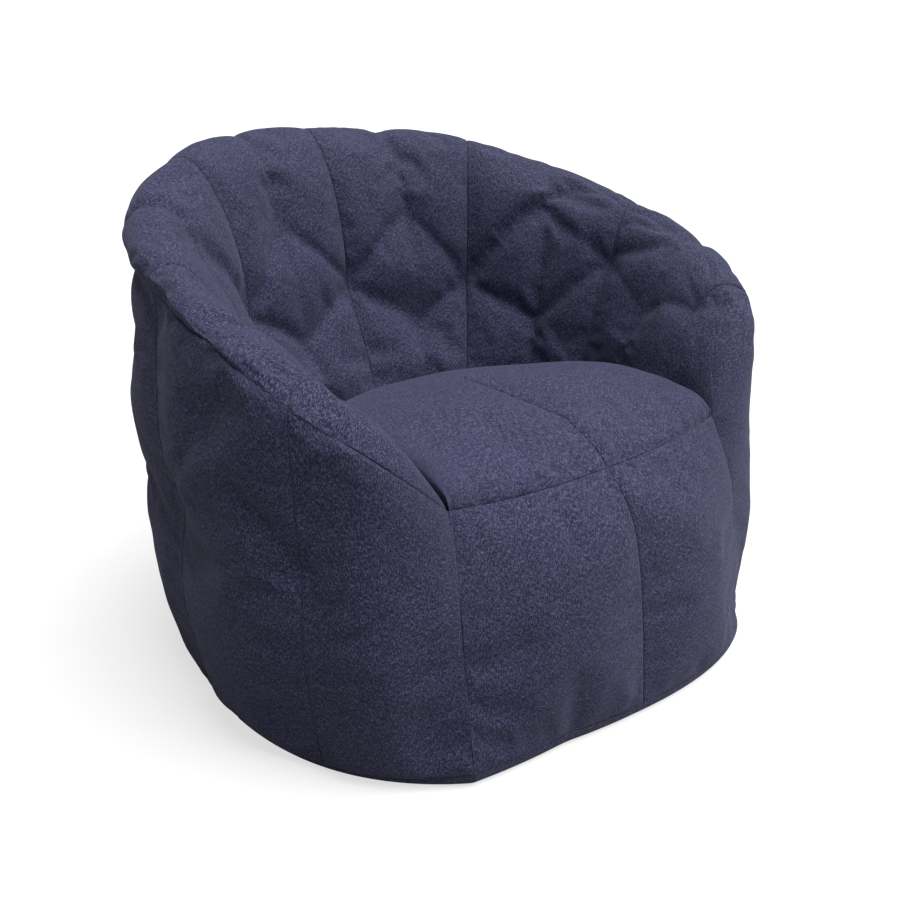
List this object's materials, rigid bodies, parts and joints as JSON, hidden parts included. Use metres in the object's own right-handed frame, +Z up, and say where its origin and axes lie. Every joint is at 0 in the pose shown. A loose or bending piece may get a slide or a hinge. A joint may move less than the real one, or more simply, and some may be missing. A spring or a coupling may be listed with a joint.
{
  "type": "bean bag chair",
  "caption": "Tub-shaped bean bag chair with a padded wraparound back and arms, crowned seat, sewn fabric panels and zips under the base.",
  "frame": {"origin": "on the floor, under the middle of the chair's bounding box", "axes": "+Z up, -Y the way the sitter faces, +X to the right of someone looking along +Y at the chair's front"},
  "size_m": [0.9356, 0.8361, 0.7329],
  "materials": {
    "upholstery": "heathered navy woven upholstery fabric, matt with a soft sheen",
    "lining": "plain grey woven lining",
    "webbing": "flat black woven tape",
    "beads": "white expanded polystyrene beads",
    "zip_tape": "dark navy woven zip tape",
    "zip_coil": "dark moulded nylon coil",
    "zip_metal": "dark plated zinc"
  },
  "bodies": {
    "chair": {"base_front": "upholstery", "base_middle": "upholstery", "base_rear": "upholstery", "bead_fill_seat": "beads", "bead_fill_wall": "beads", "chamber_divider": "lining", "front_left": "upholstery", "front_right": "upholstery", "seat_left": "upholstery", "seat_right": "upholstery", "seat_zip_coil_front": "zip_coil", "seat_zip_coil_rear": "zip_coil", "seat_zip_stop_end": "zip_metal", "seat_zip_stop_start": "zip_metal", "seat_zip_tape_front": "zip_tape", "seat_zip_tape_rear": "zip_tape", "wall_inner_left_1": "upholstery", "wall_inner_left_2": "upholstery", "wall_inner_left_3": "upholstery", "wall_inner_left_4": "upholstery", "wall_inner_right_1": "upholstery", "wall_inner_right_2": "upholstery", "wall_inner_right_3": "upholstery", "wall_inner_right_4": "upholstery", "wall_outer_left_1": "upholstery", "wall_outer_left_2": "upholstery", "wall_outer_left_3": "upholstery", "wall_outer_left_4": "upholstery", "wall_outer_right_1": "upholstery", "wall_outer_right_2": "upholstery", "wall_outer_right_3": "upholstery", "wall_outer_right_4": "upholstery", "wall_tie_left_1": "webbing", "wall_tie_left_2": "webbing", "wall_tie_left_3": "webbing", "wall_tie_middle": "webbing", "wall_tie_right_1": "webbing", "wall_tie_right_2": "webbing", "wall_tie_right_3": "webbing", "wall_zip_coil_front": "zip_coil", "wall_zip_coil_rear": "zip_coil", "wall_zip_stop_end": "zip_metal", "wall_zip_stop_start": "zip_metal", "wall_zip_tape_front": "zip_tape", "wall_zip_tape_rear": "zip_tape"},
    "seat_zip_slider": {"seat_zip_slider": "zip_metal"},
    "wall_zip_slider": {"wall_zip_slider": "zip_metal"}
  },
  "joints": [
    {"name": "seat_zip_slide", "type": "slide", "parent": "chair", "child": "seat_zip_slider", "axis": [1, 0, 0], "range_m": [0, 0.376]},
    {"name": "wall_zip_slide", "type": "slide", "parent": "chair", "child": "wall_zip_slider", "axis": [1, 0, 0], "range_m": [0, 0.376]}
  ]
}
